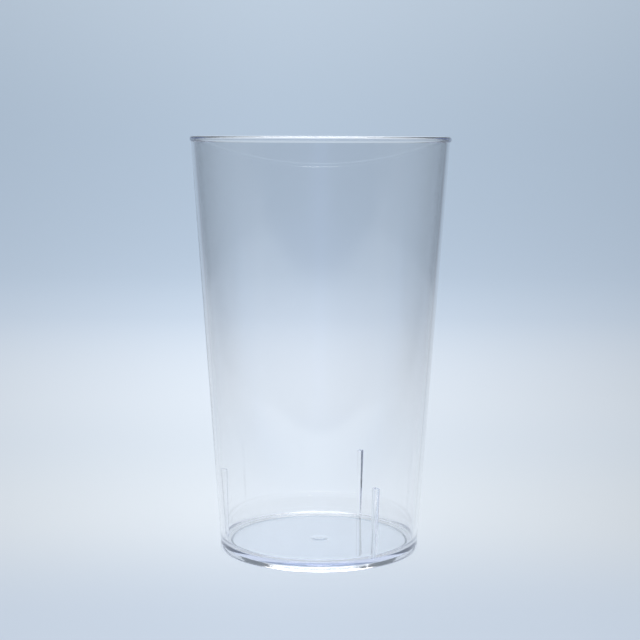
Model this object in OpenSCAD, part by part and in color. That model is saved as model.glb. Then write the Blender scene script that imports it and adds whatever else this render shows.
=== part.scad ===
// Stacking tumbler, injection moulded in one piece from clear plastic.
// The origin is the middle of the face it stands on, and +Z is up.
// One section is drawn to the right of the axis and turned about it. The
// three stacking ribs are then fused to the inside of the wall.

/* [Overall] */
// Height from the table to the top of the lip
height = 140; // [110:1:170]
// Outer diameter of the wall where it meets the lip, lip bead not counted
mouth_d = 86.7; // [82:0.1:96]
// Outer diameter of the foot
foot_d = 67.9; // [60:0.1:72]

/* [Wall and floor] */
// Thickness of the side wall, measured across
wall_t = 1.5; // [1.4:0.1:2.4]
// Thickness of the floor
floor_t = 2; // [1.6:0.1:3]
// Radius of the corner between the wall and the floor, inside
inner_fillet = 2.2; // [1:0.1:3]

/* [Lip] */
// How far the lip bead stands out from the wall
bead_out = 0.4; // [0.3:0.05:0.6]
// Height of the lip bead
bead_h = 1.8; // [1.6:0.1:3.4]
// Radius of the outer top edge of the lip
lip_round_out = 0.7; // [0.4:0.05:0.7]
// Radius of the inner top edge of the lip
lip_round_in = 0.5; // [0.3:0.05:0.6]

/* [Foot] */
// Height of the recess under the floor
recess_h = 0.8; // [0.6:0.1:2.5]
// Width of the foot ring at its top, where it joins the floor
foot_ring_w = 4.2; // [3.4:0.1:6]
// How much narrower the foot ring gets down to the table, as its inner side
// slopes
foot_ring_slope = 0.8; // [0.2:0.05:1.2]
// Radius of the foot's outer edge at the table
foot_round = 0.7; // [0.4:0.1:1.2]
// Radius of the foot ring's inner edge at the table
foot_round_in = 0.2; // [0.1:0.05:0.3]
// Radius of the corner between the foot ring and the floor's underside
recess_fillet = 0.3; // [0.2:0.05:0.5]
// Height of the plain band round the foot, up to the parting step
foot_band_h = 2; // [1.6:0.1:4]
// Depth of the parting step above the band
step_in = 0.08; // [0.05:0.01:0.2]

/* [Stacking ribs] */
// Number of ribs
rib_n = 3; // [3:1:6]
// Direction of the first rib, seen from above
rib_turn = -57; // [-180:1:180]
// Width of a rib
rib_w = 1.7; // [1.2:0.1:3]
// How far a rib's top reaches in from the wall
rib_reach = 2.3; // [1.6:0.1:3.2]
// How far a rib leans in from its top down to the floor, by draft
rib_draft = 0.5; // [0.1:0.1:0.8]
// Gap all round between a stacked tumbler's foot and this wall
stack_gap = 0.12; // [0.08:0.01:0.3]

/* [Gate] */
// Diameter of the low disc under the gate, in the middle of the floor
gate_d = 6.5; // [4:0.5:14]
// Height of that disc above the floor's underside
gate_h = 0.15; // [0.1:0.05:0.4]
// Diameter of the gate's own vestige
gate_pip_d = 1.6; // [1:0.1:3]
// Length of the vestige
gate_pip_h = 0.4; // [0.2:0.1:0.5]

/* [Hidden] */

clear_plastic = [0.86, 0.90, 0.96, 0.35];

mouth_r = mouth_d / 2;
foot_r = foot_d / 2;
// The wall's outer line runs straight from the parting step to the lip
step_r = foot_r - step_in;
taper = (mouth_r - step_r) / (height - foot_band_h);
wall_angle = atan(taper);
// Thickness across the wall becomes a wider thickness along the level
wall_level = wall_t / cos(wall_angle);
function outer_r(z) = step_r + taper * (z - foot_band_h);
function inner_r(z) = outer_r(z) - wall_level;
function height_of_inner(r) = foot_band_h + (r + wall_level - step_r) / taper;

floor_top = recess_h + floor_t;
floor_edge_r = inner_r(floor_top);
recess_top_r = foot_r - foot_ring_w;
recess_foot_r = recess_top_r + foot_ring_slope;

// A stacked tumbler's foot comes to rest on the ribs where the wall is just
// wide enough to let it in, so the ribs' height follows from the foot
rib_top = height_of_inner(foot_r + stack_gap);
rib_nose_top = inner_r(rib_top) - rib_reach;
rib_angle = atan(rib_draft / (rib_top - floor_top));
// The ribs run down into the floor and out into the wall by this much
root = 0.8;

bead_low = height - bead_h;
bead_mid = height - bead_h / 2;
bead_r = outer_r(bead_mid) + bead_out;
// The bead's face is one arc, widest at its middle, that leaves the wall at
// the bead's lower end
bead_rise = bead_r - outer_r(bead_low);
bead_arc = (pow(bead_h / 2, 2) + pow(bead_rise, 2)) / (2 * bead_rise);
bead_centre = [bead_r - bead_arc, bead_mid];
// Centre of the lip's outer rounding, tangent to the bead's arc and the top
lip_centre = [
    bead_centre[0]
        + sqrt(pow(bead_arc - lip_round_out, 2) - pow(bead_h / 2 - lip_round_out, 2)),
    height - lip_round_out
];
// Spare length by which cutting shapes run past what they cut
over = 1;

function unit(v) = v / norm(v);

// Rounds a corner of a section: what lies between the corner and a circle of
// radius r that touches both edges. The edges run from the corner to a and b.
module corner(at, a, b, r) {
    u = unit(a - at);
    v = unit(b - at);
    half = acos(u * v) / 2;
    centre = at + unit(u + v) * r / sin(half);
    reach = r / tan(half);
    difference() {
        polygon([centre, at + u * reach, at + (at - centre) * 0.1, at + v * reach]);
        translate(centre) circle(r, $fn = 180);
    }
}

// Foot and outside of the wall, filled to the axis, up into the lip bead
module outer_section() {
    foot_edge = [foot_r, 0];
    band_edge = [foot_r, foot_band_h];
    difference() {
        polygon([
            [0, 0],
            foot_edge,
            band_edge,
            [step_r, foot_band_h],
            [outer_r(bead_mid), bead_mid],
            [bead_centre[0], height],
            [0, height]
        ]);
        corner(foot_edge, [0, 0], band_edge, foot_round);
    }
}

// Bead round the lip: a full round, cut level at the top, its outer edge
// rounded off
module bead_section() {
    away = unit(lip_centre - bead_centre);
    difference() {
        translate(bead_centre) circle(bead_arc, $fn = 360);
        translate([bead_centre[0] - 2 * bead_arc, height]) square(4 * bead_arc);
        difference() {
            polygon([
                lip_centre,
                [lip_centre[0], height + over],
                [bead_r + over, height + over],
                lip_centre + away * (lip_round_out + over)
            ]);
            translate(lip_centre) circle(lip_round_out, $fn = 180);
        }
    }
}

// Room inside the tumbler, from the floor up through the mouth
module inner_section() {
    floor_edge = [floor_edge_r, floor_top];
    mouth_edge = [inner_r(height), height];
    difference() {
        polygon([
            [0, floor_top],
            floor_edge,
            [inner_r(height + over), height + over],
            [0, height + over]
        ]);
        corner(floor_edge, [0, floor_top], mouth_edge, inner_fillet);
    }
    corner(mouth_edge, floor_edge, [bead_r, height], lip_round_in);
}

// Recess under the floor, inside the foot ring
module recess_section() {
    recess_edge = [recess_top_r, recess_h];
    ring_edge = [recess_foot_r, 0];
    below = ring_edge + unit(ring_edge - recess_edge) * over;
    difference() {
        polygon([[0, below[1]], below, recess_edge, [0, recess_h]]);
        corner(recess_edge, [0, recess_h], ring_edge, recess_fillet);
    }
    corner(ring_edge, recess_edge, [foot_r, 0], foot_round_in);
}

// Full section of the wall, floor, foot and lip
module shell_section() {
    difference() {
        union() {
            outer_section();
            bead_section();
        }
        inner_section();
        recess_section();
    }
}

// One stacking rib: a round-nosed bar on the inside of the wall, leaning by
// its draft, with a level top on which the next tumbler's foot rests
module rib() {
    nose = rib_w / 2;
    length = rib_top - floor_top + root;
    back = wall_level + rib_reach;
    intersection() {
        translate([rib_nose_top, 0, rib_top])
            rotate([0, rib_angle, 0])
                translate([0, 0, -length]) {
                    translate([nose, 0, 0]) cylinder(h = length + root, r = nose, $fn = 96);
                    translate([nose, -nose, 0]) cube([back, rib_w, length + root]);
                }
        wall_room();
    }
}

// Room in which a rib may lie: below its top, and out to inside the wall
module wall_room() {
    rotate_extrude($fn = 180)
        polygon([
            [0, floor_top - root],
            [inner_r(floor_top - root) + wall_level / 2, floor_top - root],
            [inner_r(rib_top) + wall_level / 2, rib_top],
            [0, rib_top]
        ]);
}

// Disc and vestige that the gate leaves in the middle of the underside
module gate_mark() {
    translate([0, 0, recess_h - gate_h]) cylinder(h = gate_h + 0.5, d = gate_d, $fn = 96);
    translate([0, 0, recess_h - gate_pip_h])
        cylinder(h = gate_pip_h + 0.5, d = gate_pip_d, $fn = 48);
}

module tumbler() {
    color(clear_plastic) {
        rotate_extrude($fn = 180) shell_section();
        for (i = [0 : rib_n - 1])
            rotate([0, 0, rib_turn + i * 360 / rib_n]) rib();
        gate_mark();
    }
}

tumbler();
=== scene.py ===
import math

import bpy
from mathutils import Matrix, Vector


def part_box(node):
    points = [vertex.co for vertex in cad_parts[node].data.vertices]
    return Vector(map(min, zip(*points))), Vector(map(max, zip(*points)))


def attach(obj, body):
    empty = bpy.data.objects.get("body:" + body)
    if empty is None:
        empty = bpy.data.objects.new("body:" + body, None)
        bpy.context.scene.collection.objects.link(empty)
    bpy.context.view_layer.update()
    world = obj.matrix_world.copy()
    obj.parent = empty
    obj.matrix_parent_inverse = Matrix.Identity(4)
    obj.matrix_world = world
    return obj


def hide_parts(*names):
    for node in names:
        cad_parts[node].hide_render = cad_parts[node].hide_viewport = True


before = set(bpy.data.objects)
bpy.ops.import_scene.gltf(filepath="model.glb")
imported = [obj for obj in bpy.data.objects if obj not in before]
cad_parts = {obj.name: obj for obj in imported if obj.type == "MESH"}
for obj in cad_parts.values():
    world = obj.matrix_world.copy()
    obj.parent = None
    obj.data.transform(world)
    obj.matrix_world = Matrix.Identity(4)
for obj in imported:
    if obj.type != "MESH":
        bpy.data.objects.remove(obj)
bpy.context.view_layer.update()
LOW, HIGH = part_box("tumbler")
MM = 0.001

# The paper sweep's flat stretch, the radius of its bend, and its height, in metres
SWEEP_FLAT = 0.9
SWEEP_BEND = 0.4
SWEEP_TOP = 1.6
# Way back and up the paper at which its ramp of colours starts and ends, in metres
POOL_START = -1.3
POOL_END = 2.9
# The painted pool of light on the paper widens as seen from POOL_EYE before the axis, and
# no
# # nearer than POOL_NEAREST. Slants are widths over the distance from there: the
# picture's side,
# # how far the pool lies to the left, and how soft its middle is.
POOL_EYE = 0.5
POOL_NEAREST = -0.2
PICTURE_SIDE = 0.2154
POOL_LEFT = 0.025
POOL_TIP = 0.032
# Least share of the light that is left at the pool's sides
POOL_LEAST = 0.35
# Painted shade for the dim room: the paper gets darker from the first to the second
# # distance from the axis, in metres, and from the first to the second slant
DIM_REACH = (0.55, 0.68)
DIM_SLANT = (0.3, 0.6)
# Painted contact shadow under the foot ring: the middle of the ring's face, how far the
# # painted shade runs to either side of that, and the share of the light that is left
# under it
RING_MIDDLE = 31.9 * MM
RING_SHADE = (1.0 * MM, 2.6 * MM)
RING_LIGHT = 0.85
# The paper's own glow stands for most of the light that it gets from the room
GLOW = 1.1
GLOW_SHARE = 0.75
LAMP_PLACE = (0.0, 0.25, 1.1)
LAMP_SIZE = 0.9
ROOM_STRENGTH = 0.9
# What is left of a lamp's light in the tumbler's shadow, per face that it crosses
SHADOW_TINT = (0.86, 0.88, 0.92, 1.0)
# Melt flow leaves ripples about 9 mm apart round the wall and 120 mm long: their
# number per metre along X, Y and Z, and their depth
RIPPLES = (110.0, 110.0, 8.0)
RIPPLE_DEPTH = 0.02 * MM

bl_info = {
    "name": "Clear stacking tumbler",
    "version": (1, 0, 0),
    "blender": (4, 5, 0),
    "location": "View3D > Sidebar > Tumbler",
    "description": "Models a clear moulded tumbler, its plastic and a soft pale studio",
    "category": "Add Mesh",
}


def linear(hex_colour):
    """Turns an sRGB hex colour, such as #ffffff, into linear red, green and blue."""
    parts = [int(hex_colour[i : i + 2], 16) / 255 for i in (1, 3, 5)]
    return tuple(
        p / 12.92 if p <= 0.04045 else ((p + 0.055) / 1.055) ** 2.4 for p in parts
    )


def length(name, description, default):
    """A size in metres, which the sidebar shows in the scene's unit."""
    return bpy.props.FloatProperty(
        name=name, description=description, default=default, min=0.0, unit="LENGTH",
        precision=5,
    )


def colour(name, description, hex_colour):
    """A colour that the sidebar shows as a swatch."""
    return bpy.props.FloatVectorProperty(
        name=name, description=description, subtype="COLOR", size=3, min=0.0, max=1.0,
        default=linear(hex_colour),
    )


class TumblerSizes(bpy.types.PropertyGroup):
    """Sizes of the moulded tumbler"""

    height: length("Height", "From the table to the top of the lip", HIGH.z)
    mouth_d: length("Mouth", "Wall diameter at the lip, bead not counted", 86.7 * MM)
    foot_d: length("Foot", "Outer diameter of the foot", 67.9 * MM)
    wall_t: length("Wall", "Thickness of the side wall", 1.5 * MM)
    floor_t: length("Floor", "Thickness of the floor", 2.0 * MM)
    inner_fillet: length("Inside corner", "Radius between wall and floor", 2.2 * MM)
    bead_out: length("Bead depth", "How far the lip bead stands out", 0.4 * MM)
    bead_h: length("Bead height", "Height of the lip bead", 1.8 * MM)
    lip_round_out: length("Outer lip edge", "Radius of the lip's outer edge", 0.7 * MM)
    lip_round_in: length("Inner lip edge", "Radius of the lip's inner edge", 0.5 * MM)
    recess_h: length("Recess", "Height of the recess under the floor", 0.8 * MM)
    ring_w: length("Foot ring", "Width of the foot ring at its top", 4.2 * MM)
    ring_slope: length("Ring slope", "How much the ring narrows to the table", 0.8 * MM)
    foot_round: length("Foot edge", "Radius of the foot's outer edge", 0.7 * MM)
    foot_round_in: length("Inner foot edge", "Radius of the foot's inner edge", 0.2 * MM)
    recess_fillet: length("Recess corner", "Radius under the floor's edge", 0.3 * MM)
    band_h: length("Foot band", "Height of the band below the parting step", 2.0 * MM)
    step_in: length("Parting step", "Depth of the parting step", 0.08 * MM)
    rib_w: length("Rib width", "Width of a stacking rib", 1.7 * MM)
    rib_reach: length("Rib reach", "How far a rib's top reaches in", 2.3 * MM)
    rib_draft: length("Rib draft", "How far a rib leans in to the floor", 0.5 * MM)
    rib_edge: length("Rib edge", "Radius round the top of a rib", 0.25 * MM)
    stack_gap: length("Stacking gap", "Gap round a stacked tumbler's foot", 0.12 * MM)
    gate_d: length("Gate disc", "Diameter of the disc under the gate", 6.5 * MM)
    gate_h: length("Gate disc height", "How far the disc stands down", 0.15 * MM)
    pip_d: length("Gate pip", "Diameter of the gate's vestige", 1.6 * MM)
    pip_h: length("Gate pip height", "How far the vestige stands down", 0.4 * MM)
    rib_n: bpy.props.IntProperty(
        name="Ribs", description="Number of ribs", default=3, min=1
    )
    rib_turn: bpy.props.FloatProperty(
        name="Rib direction", description="Direction of the first rib, seen from above",
        subtype="ANGLE", default=math.radians(-57),
    )
    turns: bpy.props.IntProperty(
        name="Steps round", description="Facets round the tumbler", default=360, min=24
    )


class PlasticLook(bpy.types.PropertyGroup):
    """Look of the clear plastic"""

    tint: colour("Tint", "Colour left in light that has crossed the wall", "#ffffff")
    depth_tint: colour("Depth tint", "Colour of a long way through plastic", "#c3cdf0")
    density: bpy.props.FloatProperty(
        name="Depth tint density", description="How soon the depth tint shows, per metre",
        default=9.0, min=0.0,
    )
    ior: bpy.props.FloatProperty(
        name="IOR", description="Index of refraction of polycarbonate", default=1.585,
        min=1.0,
    )


class StudioLook(bpy.types.PropertyGroup):
    """Paper sweep, lamp, room and camera"""

    # The paper's colours keep its pale blue, made lighter or darker as painted light and
    # shade: a painted pool of light brightest behind the foot, that falls off towards the
    # camera, the sides and up the sweep, with the first, dark colour as painted shade for
    # the dim room on the camera's side
    front: colour("Front", "Dim room on the camera's side", "#5b6786")
    apron: colour("Front paper", "Paper between the camera and the picture", "#e9eff6")
    near: colour("Near paper", "Paper at the picture's lower edge", "#bccce0")
    foot: colour("Foot paper", "Paper round the foot", "#f2f8fd")
    shelf: colour("Middle paper", "Paper a little way behind the foot", "#dde8f4")
    bright: colour("Bright paper", "Brightest paper, far behind the foot", "#ecf4fd")
    far: colour("Far paper", "Paper where it starts to rise", "#ceddef")
    wall: colour("Wall", "Paper behind the lip", "#adc0d4")
    top: colour("Top", "Paper above the picture", "#d0ddea")
    room: colour("Room", "Light that comes in over the paper", "#c8ccd2")
    dim: bpy.props.FloatProperty(
        name="Side dimness", description="How much darker the room is beside the paper",
        default=0.52, min=0.0, max=1.0,
    )
    lamp: bpy.props.FloatProperty(
        name="Top light", description="Power of the soft light overhead", default=9.5,
        min=0.0, unit="POWER",
    )
    bounces: bpy.props.IntProperty(
        name="Bounces", description="How often light may bounce", default=48, min=4
    )
    lens: bpy.props.FloatProperty(
        name="Lens", description="Focal length for a 36 mm wide picture, in mm",
        default=82.65,
    )
    distance: length("Camera distance", "From the tumbler's axis, along the table", 0.495)
    camera_up: length("Camera height", "Height of the lens above the lip", 1.8 * MM)
    camera_aside: length("Camera aside", "How far right the lens stands", 0.05 * MM)
    pitch: bpy.props.FloatProperty(
        name="Pitch", description="How far the camera looks down", subtype="ANGLE",
        default=math.radians(7.33),
    )
    roll: bpy.props.FloatProperty(
        name="Roll", description="How far the camera leans", subtype="ANGLE",
        default=math.radians(0.22),
    )


def deselect():
    """Leaves edit mode and selects nothing."""
    if bpy.context.object and bpy.context.object.mode != "OBJECT":
        bpy.ops.object.mode_set(mode="OBJECT")
    bpy.ops.object.select_all(action="DESELECT")


def pick_vertices(obj, test):
    """Selects, in edit mode, the vertices whose place passes the test."""
    bpy.ops.mesh.select_mode(type="VERT")
    bpy.ops.mesh.select_all(action="DESELECT")
    bpy.ops.object.mode_set(mode="OBJECT")
    for v in obj.data.vertices:
        v.select = test(v.co)
    bpy.ops.object.mode_set(mode="EDIT")


def pick_edges(obj, test):
    """Selects, in edit mode, the edges whose two ends pass the test."""
    bpy.ops.mesh.select_mode(type="EDGE")
    bpy.ops.mesh.select_all(action="DESELECT")
    bpy.ops.object.mode_set(mode="OBJECT")
    co = [v.co for v in obj.data.vertices]
    for e in obj.data.edges:
        e.select = test(co[e.vertices[0]], co[e.vertices[1]])
    bpy.ops.object.mode_set(mode="EDIT")


def straight(start, end, support):
    """Points along a straight stretch, with a close one at each end so that smooth
    shading keeps the stretch straight right up to its corners."""
    gap = (end - start).length
    if gap < 4 * support:
        return [start, end]
    way = (end - start) / gap
    return [start, start + way * support, end - way * support, end]


def arc(centre, radius, first, last, steps):
    """Points on an arc, its angles in radians."""
    turn = (last - first) / steps
    return [
        Vector((
            centre.x + radius * math.cos(first + i * turn),
            centre.y + radius * math.sin(first + i * turn),
        ))
        for i in range(steps + 1)
    ]


def rounded(before, at, after, radius, steps=8):
    """Points of a corner's rounding, tangent to the edges towards before and after."""
    u = (before - at).normalized()
    v = (after - at).normalized()
    half = math.acos(max(-1.0, min(1.0, u.dot(v)))) / 2
    centre = at + (u + v).normalized() * (radius / math.sin(half))
    reach = radius / math.tan(half)
    start = at + u * reach - centre
    end = at + v * reach - centre
    first = math.atan2(start.y, start.x)
    turn = math.atan2(start.cross(end), start.dot(end))
    return arc(centre, radius, first, first + turn, steps)


class Wall:
    """The lines of the tumbler's side wall, and the heights that follow from them."""

    def __init__(self, s):
        self.s = s
        self.step_r = s.foot_d / 2 - s.step_in
        self.taper = (s.mouth_d / 2 - self.step_r) / (s.height - s.band_h)
        self.level = s.wall_t / math.cos(math.atan(self.taper))
        self.floor_top = s.recess_h + s.floor_t
        stacked_r = s.foot_d / 2 + s.stack_gap
        self.rib_top = s.band_h + (stacked_r + self.level - self.step_r) / self.taper

    def outer(self, z):
        return Vector((self.step_r + self.taper * (z - self.s.band_h), z))

    def inner(self, z):
        return Vector((self.outer(z).x - self.level, z))


def lip_points(s, wall):
    """The lip, from the bead's lower end over the top to the inner edge."""
    low = wall.outer(s.height - s.bead_h)
    mid_z = s.height - s.bead_h / 2
    widest = wall.outer(mid_z).x + s.bead_out
    rise = widest - low.x
    big = ((s.bead_h / 2) ** 2 + rise**2) / (2 * rise)
    bead = Vector((widest - big, mid_z))
    small = s.lip_round_out
    side = math.sqrt((big - small) ** 2 - (s.bead_h / 2 - small) ** 2)
    lip = Vector((bead.x + side, s.height - small))
    meet = math.atan2(lip.y - bead.y, lip.x - bead.x)
    start = math.atan2(low.y - bead.y, low.x - bead.x)
    points = arc(bead, big, start, meet, 14)
    points += arc(lip, small, meet, math.pi / 2, 8)[1:]
    inner_edge = wall.inner(s.height)
    points += rounded(points[-1], inner_edge, wall.inner(0.0), s.lip_round_in)
    return points


def section_points(s):
    """Half the tumbler's section: from the axis under the floor, out along the foot,
    up the outside, over the lip, down the inside and back to the axis."""
    wall = Wall(s)
    under = s.recess_h
    fine = 0.06 * MM
    pip_round = 0.22 * MM
    disc_slope = 10 * s.gate_h
    support = 0.5 * MM
    pip_edge = Vector((s.pip_d / 2, under - s.pip_h))
    pip_root = Vector((s.pip_d / 2, under - s.gate_h))
    disc_edge = Vector((s.gate_d / 2 - disc_slope, under - s.gate_h))
    disc_root = Vector((s.gate_d / 2, under))
    recess_edge = Vector((s.foot_d / 2 - s.ring_w, under))
    ring_edge = Vector((recess_edge.x + s.ring_slope, 0.0))
    foot_edge = Vector((s.foot_d / 2, 0.0))
    band_edge = Vector((s.foot_d / 2, s.band_h))
    step_root = wall.outer(s.band_h)
    floor_edge = wall.inner(wall.floor_top)
    points = [Vector((0.0, pip_edge.y))]
    points += rounded(points[0], pip_edge, pip_root, pip_round, 6)
    points += [pip_root]
    points += rounded(pip_root, disc_edge, disc_root, fine, 3)
    points += [disc_root]
    recess_round = rounded(disc_root, recess_edge, ring_edge, s.recess_fillet)
    points += straight(disc_root, recess_round[0], support)[1:-1]
    points += recess_round
    points += rounded(recess_edge, ring_edge, foot_edge, s.foot_round_in)
    points += rounded(ring_edge, foot_edge, band_edge, s.foot_round)
    points += rounded(foot_edge, band_edge, step_root, fine, 3)
    points += [step_root]
    lip = lip_points(s, wall)
    points += straight(step_root, lip[0], support)[1:-1]
    points += lip
    middle = Vector((0.0, wall.floor_top))
    floor_round = rounded(lip[-1], floor_edge, middle, s.inner_fillet)
    points += straight(lip[-1], floor_round[0], support)[1:-1]
    points += floor_round
    points += straight(floor_round[-1], middle, support)[1:-1]
    points += [middle]
    return points


def draw_line(name, points):
    """A chain of edges through the points, drawn by extruding one vertex, as (r, z)."""
    deselect()
    bpy.ops.mesh.primitive_plane_add(size=MM, location=(0, 0, 0))
    obj = bpy.context.object
    obj.name = name
    bpy.ops.object.mode_set(mode="EDIT")
    bpy.ops.mesh.select_mode(type="VERT")
    bpy.ops.mesh.select_all(action="SELECT")
    bpy.ops.mesh.merge(type="CENTER")
    bpy.ops.transform.translate(value=(points[0].x, 0, points[0].y))
    for here, there in zip(points, points[1:]):
        step = (there.x - here.x, 0, there.y - here.y)
        bpy.ops.mesh.extrude_vertices_move(TRANSFORM_OT_translate={"value": step})
    return obj


def turn_line(obj, steps):
    """Spins the drawn line, still in edit mode, once round the axis, and closes the seam
    and the poles."""
    seam = 0.002 * MM
    bpy.ops.mesh.select_all(action="SELECT")
    bpy.ops.mesh.spin(steps=steps, angle=math.tau, center=(0, 0, 0), axis=(0, 0, 1))
    bpy.ops.mesh.select_all(action="SELECT")
    bpy.ops.mesh.remove_doubles(threshold=seam)
    bpy.ops.mesh.select_all(action="SELECT")
    bpy.ops.mesh.normals_make_consistent(inside=False)
    bpy.ops.object.mode_set(mode="OBJECT")
    return obj


def model_rib(s, index):
    """One stacking rib: a cube made into a round-nosed bar that leans with the wall
    at its back and by its own draft at its nose, turned to its place."""
    wall = Wall(s)
    root = 0.8 * MM
    close = 0.01 * MM
    # Just under half the width, so that the nose's two roundings don't quite meet
    nose_round = 0.498 * s.rib_w
    bottom = wall.floor_top - root
    tall = wall.rib_top - bottom
    nose_top = wall.inner(wall.rib_top).x - s.rib_reach
    back_top = wall.inner(wall.rib_top).x + wall.level / 2
    back_low = wall.inner(bottom).x + wall.level / 2
    deselect()
    bpy.ops.mesh.primitive_cube_add(size=1, location=(0, 0, 0))
    rib = bpy.context.object
    rib.name = f"stacking_rib_{index + 1}"
    bpy.ops.object.mode_set(mode="EDIT")
    middle_r = (back_top + nose_top) / 2
    middle_z = bottom + tall / 2
    bpy.ops.transform.resize(value=(back_top - nose_top, s.rib_w, tall))
    bpy.ops.transform.translate(value=(middle_r, 0, middle_z))
    pick_vertices(rib, lambda c: c.z < middle_z and c.x > middle_r)
    bpy.ops.transform.translate(value=(back_low - back_top, 0, 0))
    pick_vertices(rib, lambda c: c.z < middle_z and c.x < middle_r)
    bpy.ops.transform.translate(value=(-s.rib_draft, 0, 0))
    pick_edges(
        rib,
        lambda a, b: abs(a.z - b.z) > tall / 2 and max(a.x, b.x) < middle_r,
    )
    bpy.ops.mesh.bevel(offset=nose_round, offset_type="OFFSET", segments=10)
    pick_edges(
        rib,
        lambda a, b: min(a.z, b.z) > wall.rib_top - close
        and min(a.x, b.x) < back_top - close,
    )
    bpy.ops.mesh.bevel(offset=s.rib_edge, offset_type="OFFSET", segments=3)
    bpy.ops.mesh.select_all(action="SELECT")
    bpy.ops.mesh.normals_make_consistent(inside=False)
    bpy.ops.object.mode_set(mode="OBJECT")
    rib.data.transform(
        Matrix.Rotation(s.rib_turn + index * math.tau / s.rib_n, 4, "Z")
    )
    return rib


def fuse(body, tool):
    """Fuses the tool into the body and throws the tool away."""
    deselect()
    body.select_set(True)
    bpy.context.view_layer.objects.active = body
    join = body.modifiers.new("fuse", "BOOLEAN")
    join.operation = "UNION"
    join.solver = "EXACT"
    join.object = tool
    bpy.ops.object.modifier_apply(modifier=join.name)
    bpy.data.objects.remove(tool)


def add_node(tree, kind, links=None, inputs=None, **settings):
    """Adds a node, sets what it is told and links it: links maps an input's name or
    number to an output socket, and inputs maps one to a value."""
    made = tree.nodes.new(kind)
    for name, value in settings.items():
        setattr(made, name, value)
    for key, value in (inputs or {}).items():
        made.inputs[key].default_value = value
    for key, socket in (links or {}).items():
        tree.links.new(socket, made.inputs[key])
    return made


def calculate(tree, operation, *terms):
    """Adds a Math node on terms that are numbers or output sockets, and gives its
    result."""
    made = add_node(tree, "ShaderNodeMath", operation=operation)
    for place, term in enumerate(terms):
        if isinstance(term, bpy.types.NodeSocket):
            tree.links.new(term, made.inputs[place])
        else:
            made.inputs[place].default_value = term
    return made.outputs["Value"]


def smooth_step(tree, value, bounds, low=0.0, high=1.0):
    """Adds a Map Range node that goes smoothly from low to high between the bounds."""
    made = add_node(
        tree, "ShaderNodeMapRange", {"Value": value},
        {"From Min": bounds[0], "From Max": bounds[1], "To Min": low, "To Max": high},
        interpolation_type="SMOOTHSTEP",
    )
    return made.outputs["Result"]


def new_material(name):
    """An empty node material, with its tree and its output node."""
    material = bpy.data.materials.new(name)
    material.use_nodes = True
    tree = material.node_tree
    tree.nodes.clear()
    return material, tree, tree.nodes.new("ShaderNodeOutputMaterial")


def moulded_polycarbonate(look):
    """Polycarbonate, injection moulded in a polished mould: clear as glass, with a
    faint blue cast along its edges, slow ripples that run up the wall from the gate in
    the floor, and patches that handling has left a trace duller."""
    material, tree, output = new_material("moulded_clear_polycarbonate")
    place = add_node(tree, "ShaderNodeTexCoord")
    flow_place = add_node(
        tree, "ShaderNodeMapping", {"Vector": place.outputs["Object"]},
        {"Scale": RIPPLES},
    )
    flow = add_node(
        tree, "ShaderNodeTexNoise", {"Vector": flow_place.outputs["Vector"]},
        {"Scale": 1.0, "Detail": 2.0, "Roughness": 0.4},
    )
    flow_bump = add_node(
        tree, "ShaderNodeBump", {"Height": flow.outputs["Fac"]},
        {"Strength": 0.12, "Distance": RIPPLE_DEPTH},
    )
    # Duller patches are some 15 mm across, and break up the sharpest reflections
    patch = add_node(
        tree, "ShaderNodeTexNoise", {"Vector": place.outputs["Object"]},
        {"Scale": 65.0, "Detail": 4.0, "Roughness": 0.6},
    )
    dull = add_node(
        tree, "ShaderNodeMapRange", {"Value": patch.outputs["Fac"]},
        {"From Min": 0.45, "From Max": 0.75, "To Min": 0.0, "To Max": 0.015},
    )
    glass = add_node(
        tree, "ShaderNodeBsdfPrincipled",
        {"Roughness": dull.outputs["Result"], "Normal": flow_bump.outputs["Normal"]},
        {"Base Color": (*look.tint, 1.0), "IOR": look.ior, "Transmission Weight": 1.0},
    )
    # Lamps shine through the thin wall, so the shadow on the table stays faint
    clear = add_node(
        tree, "ShaderNodeBsdfTransparent", inputs={"Color": SHADOW_TINT}
    )
    path = add_node(tree, "ShaderNodeLightPath")
    both = add_node(
        tree, "ShaderNodeMixShader",
        {
            0: path.outputs["Is Shadow Ray"],
            1: glass.outputs["BSDF"],
            2: clear.outputs["BSDF"],
        },
    )
    tree.links.new(both.outputs["Shader"], output.inputs["Surface"])
    deep = add_node(
        tree, "ShaderNodeVolumeAbsorption",
        inputs={"Color": (*look.depth_tint, 1.0), "Density": look.density},
    )
    tree.links.new(deep.outputs["Volume"], output.inputs["Volume"])
    return material


def pool_ramp(tree, look, way):
    """Adds the ramp of the paper's colours along the way back, which paints a pool of
    light on the paper. A stop's alpha says how much of the painted light is lost from the
    pool's middle to the picture's side."""
    share = add_node(
        tree, "ShaderNodeMapRange", {"Value": way},
        {"From Min": POOL_START, "From Max": POOL_END},
    )
    ramp = add_node(tree, "ShaderNodeValToRGB", {"Fac": share.outputs["Result"]})
    # The stops paint the pool of light: dark painted shade for the dim room on the
    # camera's side, brightest behind the foot, and darker up the sweep
    stops = [
        (-0.6, look.front, 0.05), (-0.48, look.front, 0.05), (-0.40, look.apron, 0.05),
        (-0.22, look.apron, 0.05), (-0.085, look.near, 0.04), (0.02, look.foot, 0.24),
        (0.15, look.shelf, 0.2), (0.3, look.bright, 0.27), (0.62, look.far, 0.25),
        (1.3, look.wall, 0.11), (1.7, look.top, 0.11),
    ]
    ramp.color_ramp.interpolation = "B_SPLINE"
    marks = ramp.color_ramp.elements
    marks.remove(marks[1])
    marks[0].color = (*look.front, stops[0][2])
    for at, shade, lost in stops:
        marks.new((at - POOL_START) / (POOL_END - POOL_START)).color = (*shade, lost)
    return ramp


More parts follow.
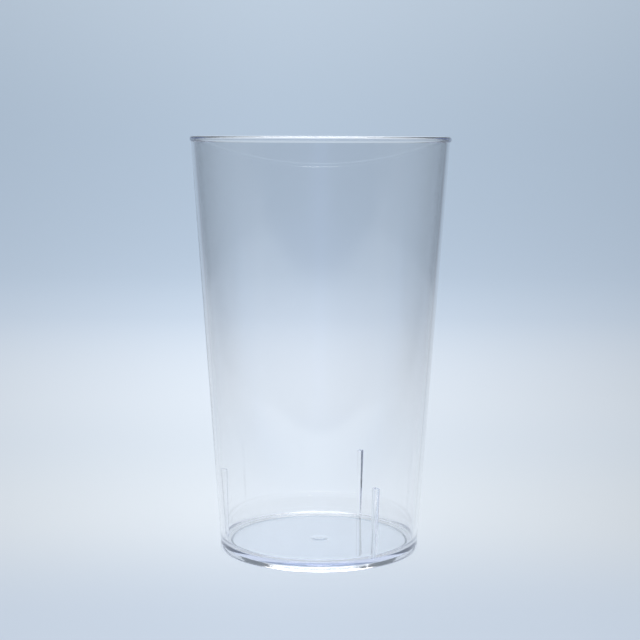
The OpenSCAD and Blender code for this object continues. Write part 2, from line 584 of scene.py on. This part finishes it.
def matt_paper(look):
    """Matt photographic paper, swept up behind the tumbler: no gloss, pale blue, with a
    painted pool of light in its colour, brightest just behind the tumbler, and a painted
    glow.
    Beside the picture, painted shade stands for the dimmer room."""
    material, tree, output = new_material("paper_sweep_painted_light")
    place = add_node(tree, "ShaderNodeTexCoord")
    parts = add_node(tree, "ShaderNodeSeparateXYZ", {"Vector": place.outputs["Object"]})
    # Way back along the floor, and then up the sweep
    way = calculate(tree, "ADD", parts.outputs["Y"], parts.outputs["Z"])
    ramp = pool_ramp(tree, look, way)
    # The painted pool is a cone of light, so it gets wider with the way back
    back = calculate(tree, "MAXIMUM", parts.outputs["Y"], POOL_NEAREST)
    wide = calculate(tree, "ADD", back, POOL_EYE)
    aside = calculate(tree, "DIVIDE", parts.outputs["X"], wide)
    slant = calculate(tree, "ABSOLUTE", calculate(tree, "ADD", aside, POOL_LEFT))
    # A cone with a softened tip: the root of a square and a small square
    squared = calculate(tree, "MULTIPLY_ADD", slant, slant, POOL_TIP**2)
    soft = calculate(tree, "SUBTRACT", calculate(tree, "SQRT", squared), POOL_TIP)
    steps = calculate(tree, "DIVIDE", soft, PICTURE_SIDE)
    lost = calculate(tree, "MULTIPLY", steps, ramp.outputs["Alpha"])
    left = calculate(tree, "MAXIMUM", calculate(tree, "SUBTRACT", 1.0, lost), POOL_LEAST)
    # Beside the sheet, outside the picture, painted shade darkens the paper for the
    # dimmer room
    from_middle = add_node(
        tree, "ShaderNodeVectorMath", {0: place.outputs["Object"]}, operation="LENGTH"
    )
    reach = from_middle.outputs["Value"]
    beyond = smooth_step(tree, reach, DIM_REACH)
    beside = smooth_step(tree, slant, DIM_SLANT, 0.0, look.dim)
    kept = calculate(
        tree, "SUBTRACT", 1.0, calculate(tree, "MULTIPLY", beyond, beside)
    )
    # Painted contact shadow: little light gets in under the foot ring, where the tumbler
    # touches the paper, so the paper's colour is darker there
    from_ring = calculate(
        tree, "ABSOLUTE", calculate(tree, "SUBTRACT", reach, RING_MIDDLE)
    )
    contact = smooth_step(tree, from_ring, RING_SHADE, RING_LIGHT, 1.0)
    light = calculate(
        tree, "MULTIPLY", calculate(tree, "MULTIPLY", left, kept), contact
    )
    shade = add_node(
        tree, "ShaderNodeVectorMath", {0: ramp.outputs["Color"], "Scale": light},
        operation="SCALE",
    )
    # Painted light: the paper glows with its painted colours, though it is no lamp
    painted_glow = add_node(
        tree, "ShaderNodeEmission", {"Color": shade.outputs["Vector"]}, {"Strength": GLOW}
    )
    paper = add_node(
        tree, "ShaderNodeBsdfDiffuse", {"Color": shade.outputs["Vector"]},
        {"Roughness": 1.0},
    )
    # The glow is seen, also in and through the plastic, and adds no diffuse light
    path = add_node(tree, "ShaderNodeLightPath")
    seen = calculate(
        tree, "MAXIMUM", path.outputs["Is Camera Ray"], path.outputs["Is Glossy Ray"]
    )
    shown = calculate(tree, "MAXIMUM", seen, path.outputs["Is Transmission Ray"])
    glow_part = calculate(tree, "MULTIPLY", shown, GLOW_SHARE)
    both = add_node(
        tree, "ShaderNodeMixShader",
        {0: glow_part, 1: paper.outputs["BSDF"], 2: painted_glow.outputs["Emission"]},
    )
    tree.links.new(both.outputs["Shader"], output.inputs["Surface"])
    return material


class TUMBLER_OT_body(bpy.types.Operator):
    """Model the tumbler: turn its section, fuse the stacking ribs and finish it"""

    bl_idname = "tumbler.body"
    bl_label = "Moulded tumbler"

    def execute(self, context):
        s = context.scene.tumbler_sizes
        body = turn_line(draw_line("clear_tumbler", section_points(s)), s.turns)
        for index in range(s.rib_n):
            fuse(body, model_rib(s, index))
        deselect()
        body.select_set(True)
        context.view_layer.objects.active = body
        bpy.ops.object.shade_smooth_by_angle(angle=math.radians(32))
        body.data.materials.clear()
        body.data.materials.append(moulded_polycarbonate(context.scene.tumbler_plastic))
        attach(body, "root")
        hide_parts("tumbler")
        return {"FINISHED"}


class TUMBLER_OT_studio(bpy.types.Operator):
    """Lay the paper sweep, hang the soft light and set the camera"""

    bl_idname = "tumbler.studio"
    bl_label = "Studio"

    def execute(self, context):
        look = context.scene.tumbler_studio
        bend = arc(
            Vector((SWEEP_FLAT, SWEEP_BEND)), SWEEP_BEND, -math.pi / 2, 0.0, 16
        )
        line = [Vector((0.0, 0.0)), *bend, Vector((SWEEP_FLAT + SWEEP_BEND, SWEEP_TOP))]
        sweep = turn_line(draw_line("paper_sweep", line), 96)
        bpy.ops.object.shade_smooth_by_angle(angle=math.radians(40))
        sweep.data.materials.clear()
        sweep.data.materials.append(matt_paper(look))
        deselect()
        bpy.ops.object.light_add(type="AREA", location=LAMP_PLACE)
        lamp = context.object
        lamp.name = "soft_top_light"
        lamp.data.shape = "DISK"
        lamp.data.size = LAMP_SIZE
        lamp.data.energy = look.lamp
        world = bpy.data.worlds.new("pale_room")
        world.use_nodes = True
        sky = world.node_tree.nodes["Background"]
        sky.inputs["Color"].default_value = (*look.room, 1.0)
        sky.inputs["Strength"].default_value = ROOM_STRENGTH
        context.scene.world = world
        # Light runs round inside the foot ring many times before it finds a way out
        paths = context.scene.cycles
        paths.max_bounces = look.bounces
        paths.transmission_bounces = look.bounces
        paths.glossy_bounces = look.bounces
        self.set_camera(context, look)
        return {"FINISHED"}

    def set_camera(self, context, look):
        """Stands the camera where the photograph was taken from."""
        place = (look.camera_aside, -look.distance, HIGH.z + look.camera_up)
        bpy.ops.object.camera_add(location=place)
        camera = context.object
        camera.name = "camera"
        camera.data.lens = look.lens
        camera.data.sensor_width = 36.0
        tilt = Matrix.Rotation(math.pi / 2 - look.pitch, 4, "X")
        lean = Matrix.Rotation(look.roll, 4, "Z")
        camera.rotation_euler = (tilt @ lean).to_euler()
        camera.data.clip_start = 0.01
        camera.data.clip_end = 20.0
        context.scene.camera = camera
        context.scene.view_settings.view_transform = "Standard"


class TUMBLER_PT_panel(bpy.types.Panel):
    """Sidebar panel that lists the tumbler's operators, sizes and colours"""

    bl_label = "Clear stacking tumbler"
    bl_idname = "TUMBLER_PT_panel"
    bl_space_type = "VIEW_3D"
    bl_region_type = "UI"
    bl_category = "Tumbler"

    def draw(self, context):
        for operator in OPERATORS:
            self.layout.operator(operator.bl_idname)
        for group in ("tumbler_sizes", "tumbler_plastic", "tumbler_studio"):
            box = self.layout.box()
            settings = getattr(context.scene, group)
            for name in settings.bl_rna.properties.keys():
                if name not in ("rna_type", "name"):
                    box.prop(settings, name)


OPERATORS = (TUMBLER_OT_body, TUMBLER_OT_studio)
GROUPS = {
    "tumbler_sizes": TumblerSizes,
    "tumbler_plastic": PlasticLook,
    "tumbler_studio": StudioLook,
}


def register():
    for kind in (*GROUPS.values(), *OPERATORS, TUMBLER_PT_panel):
        bpy.utils.register_class(kind)
    for name, kind in GROUPS.items():
        setattr(bpy.types.Scene, name, bpy.props.PointerProperty(type=kind))


def unregister():
    for name in GROUPS:
        delattr(bpy.types.Scene, name)
    for kind in reversed((*GROUPS.values(), *OPERATORS, TUMBLER_PT_panel)):
        bpy.utils.unregister_class(kind)


def main():
    register()
    bpy.ops.tumbler.body()
    bpy.ops.tumbler.studio()


if __name__ == "__main__":
    main()
